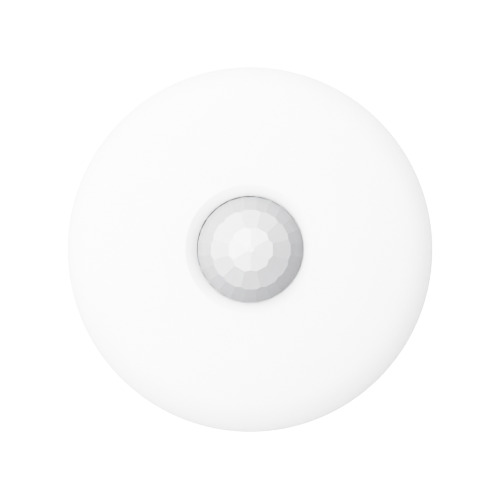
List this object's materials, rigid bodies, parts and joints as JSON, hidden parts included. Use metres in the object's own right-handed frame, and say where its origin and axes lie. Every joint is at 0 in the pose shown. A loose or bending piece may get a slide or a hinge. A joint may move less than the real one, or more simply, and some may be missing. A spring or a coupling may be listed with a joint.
{
  "type": "motion sensor",
  "caption": "Round ceiling passive-infrared motion sensor: pebble-shaped white head with a dished collar and faceted milky lens dome, twist-locked to a screw-on mounting plate.",
  "frame": {"origin": "centre of the rear face of the mounting plate, where it meets the ceiling", "axes": "+Z out through the lens, away from the ceiling; +X through one ceiling screw; +Y away from the battery"},
  "size_m": [0.11, 0.11, 0.036],
  "materials": {
    "shell_white": "satin moulded ABS",
    "lens_milky": "milky translucent polyethylene, smooth facets",
    "plate_white": "matt moulded ABS",
    "retainer_grey": "matt moulded plastic",
    "screw_steel": "zinc-plated",
    "board_green": "solder-masked glass epoxy laminate",
    "nickel": "nickel-plated",
    "filter_dark": "polished infrared filter, opaque to the eye",
    "element_ceramic": "unglazed",
    "shroud_black": "matt black",
    "led_red": "tinted epoxy",
    "battery_sleeve": "shrink sleeve",
    "contact_nickel": "nickel-plated spring steel",
    "wire_red": "soft insulation",
    "wire_black": "soft insulation",
    "antenna_copper": "bare plated wire",
    "shield_tin": "tinned sheet",
    "chip_black": "moulded epoxy",
    "capacitor_metal": "drawn can",
    "bead_blue": "dipped epoxy",
    "switch_black": "moulded",
    "stem_white": "moulded nylon",
    "plunger_grey": "moulded acetal",
    "spring_steel": "drawn wire"
  },
  "bodies": {
    "mount": {"mounting_plate": "plate_white"},
    "head": {"rear_housing": "shell_white", "front_cover": "shell_white", "lens": "lens_milky", "lens_retainer": "retainer_grey", "cover_screws": "screw_steel", "board_screws": "screw_steel", "retainer_screws": "screw_steel", "main_board": "board_green", "pyro_header": "nickel", "pyro_can": "nickel", "pyro_window": "filter_dark", "pyro_element": "element_ceramic", "sensor_shroud": "shroud_black", "indicator_led": "led_red", "battery": "battery_sleeve", "battery_contact_positive": "contact_nickel", "battery_contact_negative": "contact_nickel", "battery_lead_red": "wire_red", "battery_lead_black": "wire_black", "antenna": "antenna_copper", "radio_shield": "shield_tin", "microcontroller": "chip_black", "amplifier_chip": "chip_black", "crystal": "shield_tin", "capacitors": "capacitor_metal", "programming_header": "chip_black", "thermistor": "bead_blue", "tamper_switch": "switch_black", "enrol_switch": "switch_black"},
    "tamper_plunger": {"tamper_plunger": "plunger_grey", "tamper_spring": "spring_steel"},
    "tamper_stem": {"tamper_stem": "stem_white"},
    "enrol_button": {"enrol_button": "plunger_grey"},
    "enrol_stem": {"enrol_stem": "stem_white"}
  },
  "joints": [
    {"name": "twist_lock", "type": "hinge", "parent": "mount", "child": "head", "pos_m": [0, 0, 0], "axis": [0, 0, 1], "range_deg": [0, 25]},
    {"name": "tamper_travel", "type": "slide", "parent": "head", "child": "tamper_plunger", "axis": [0, 0, 1], "range_m": [-0.0018, 0], "deforming": ["tamper_spring"]},
    {"name": "tamper_stem_travel", "type": "slide", "parent": "head", "child": "tamper_stem", "axis": [0, 0, 1], "range_m": [-0.00025, 0]},
    {"name": "enrol_press", "type": "slide", "parent": "head", "child": "enrol_button", "axis": [0, 0, 1], "range_m": [0, 0.00025]},
    {"name": "enrol_stem_travel", "type": "slide", "parent": "head", "child": "enrol_stem", "axis": [0, 0, 1], "range_m": [0, 0.00025]}
  ],
  "couplings": [
    {"joint": "tamper_stem_travel", "follows": "tamper_travel", "ratio": 0.1388},
    {"joint": "enrol_stem_travel", "follows": "enrol_press", "ratio": 1}
  ]
}
